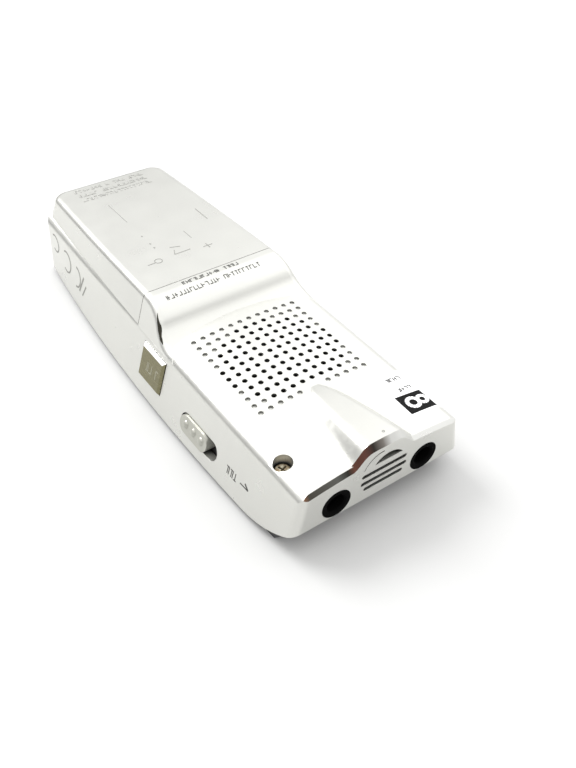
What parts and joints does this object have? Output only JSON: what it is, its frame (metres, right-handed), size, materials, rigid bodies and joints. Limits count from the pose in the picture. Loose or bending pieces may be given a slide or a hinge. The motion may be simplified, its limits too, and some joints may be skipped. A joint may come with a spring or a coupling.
{
  "type": "handheld voice recorder",
  "caption": "Slim handheld voice recorder with a sliding battery cover, back speaker grille, end microphone slots, plug sockets, a side key, a hold slider and front keys beside a display.",
  "frame": {"origin": "under the middle of the case, on the plane of the front face that the recorder rests on", "axes": "+Z out of the back, with the speaker grille and battery cover; -Y towards the end with the microphone slots and sockets; +X is the third axis, and the side key is on the -X side"},
  "size_m": [0.0408, 0.1014, 0.0195],
  "materials": {
    "silver_shell": "satin silver paint on moulded plastic",
    "dark_shell": "fine matte texture",
    "window": "polished",
    "lcd_glass": "satin",
    "clear_plastic": "polished",
    "key_metal": "polished with a satin face",
    "key_plastic": "silver, semi-gloss",
    "record_red": "semi-gloss",
    "slider_plastic": "satin",
    "carrier_plastic": "matte",
    "rubber": "matte",
    "spring_steel": "nickel plated",
    "screw_steel": "zinc plated",
    "board": "solder resist",
    "chip": "matte",
    "can_steel": "drawn",
    "jack_plastic": "semi-gloss",
    "mesh_cloth": "woven",
    "cone_film": "satin",
    "magnet_steel": "plated",
    "cell_wrap": "printed sleeve"
  },
  "bodies": {
    "recorder": {"battery_plates": "spring_steel", "battery_springs": "spring_steel", "case_screws": "screw_steel", "cell_a": "cell_wrap", "cell_b": "cell_wrap", "crystal_can": "can_steel", "ear_jack": "jack_plastic", "ear_jack_ring": "jack_plastic", "front_case": "dark_shell", "hold_switch": "chip", "key_domes": "spring_steel", "keypad_mat": "rubber", "lcd_light_guide": "clear_plastic", "lcd_module": "lcd_glass", "lcd_window": "window", "main_board": "board", "memory_chip": "chip", "mic_boot": "rubber", "mic_capsule": "can_steel", "mic_jack": "jack_plastic", "mic_jack_ring": "jack_plastic", "mic_mesh": "mesh_cloth", "processor_chip": "chip", "rear_case": "silver_shell", "record_lamp": "clear_plastic", "side_key_switch": "chip", "speaker_cone": "cone_film", "speaker_contacts": "spring_steel", "speaker_felt": "mesh_cloth", "speaker_frame": "magnet_steel", "speaker_gasket": "rubber", "speaker_magnet": "magnet_steel"},
    "battery_cover": {"battery_cover": "silver_shell"},
    "side_key": {"side_key": "key_metal"},
    "hold_slider": {"hold_slider": "slider_plastic", "hold_carrier": "carrier_plastic"},
    "key_erase": {"key_erase": "key_plastic"},
    "key_folder": {"key_folder": "key_plastic"},
    "key_forward": {"key_forward": "key_plastic"},
    "key_minus": {"key_minus": "key_plastic"},
    "key_play": {"key_play": "key_plastic"},
    "key_plus": {"key_plus": "key_plastic"},
    "key_record": {"key_record": "record_red"},
    "key_rewind": {"key_rewind": "key_plastic"},
    "key_stop": {"key_stop": "key_plastic"}
  },
  "joints": [
    {"name": "battery_cover_slide", "type": "slide", "parent": "recorder", "child": "battery_cover", "axis": [0, 1, 0], "range_m": [0, 0.047]},
    {"name": "side_key_press", "type": "slide", "parent": "recorder", "child": "side_key", "axis": [1, 0, 0], "range_m": [0, 0.0005], "stiffness_N_per_m": 900},
    {"name": "hold_slide", "type": "slide", "parent": "recorder", "child": "hold_slider", "axis": [0, -1, 0], "range_m": [0, 0.002]},
    {"name": "key_erase_press", "type": "slide", "parent": "recorder", "child": "key_erase", "axis": [0, 0, 1], "range_m": [0, 0.00035], "stiffness_N_per_m": 900},
    {"name": "key_folder_press", "type": "slide", "parent": "recorder", "child": "key_folder", "axis": [0, 0, 1], "range_m": [0, 0.00035], "stiffness_N_per_m": 900},
    {"name": "key_forward_press", "type": "slide", "parent": "recorder", "child": "key_forward", "axis": [0, 0, 1], "range_m": [0, 0.00035], "stiffness_N_per_m": 900},
    {"name": "key_minus_press", "type": "slide", "parent": "recorder", "child": "key_minus", "axis": [0, 0, 1], "range_m": [0, 0.00035], "stiffness_N_per_m": 900},
    {"name": "key_play_press", "type": "slide", "parent": "recorder", "child": "key_play", "axis": [0, 0, 1], "range_m": [0, 0.00035], "stiffness_N_per_m": 900},
    {"name": "key_plus_press", "type": "slide", "parent": "recorder", "child": "key_plus", "axis": [0, 0, 1], "range_m": [0, 0.00035], "stiffness_N_per_m": 900},
    {"name": "key_record_press", "type": "slide", "parent": "recorder", "child": "key_record", "axis": [0, 0, 1], "range_m": [0, 0.00035], "stiffness_N_per_m": 900},
    {"name": "key_rewind_press", "type": "slide", "parent": "recorder", "child": "key_rewind", "axis": [0, 0, 1], "range_m": [0, 0.00035], "stiffness_N_per_m": 900},
    {"name": "key_stop_press", "type": "slide", "parent": "recorder", "child": "key_stop", "axis": [0, 0, 1], "range_m": [0, 0.00035], "stiffness_N_per_m": 900}
  ]
}
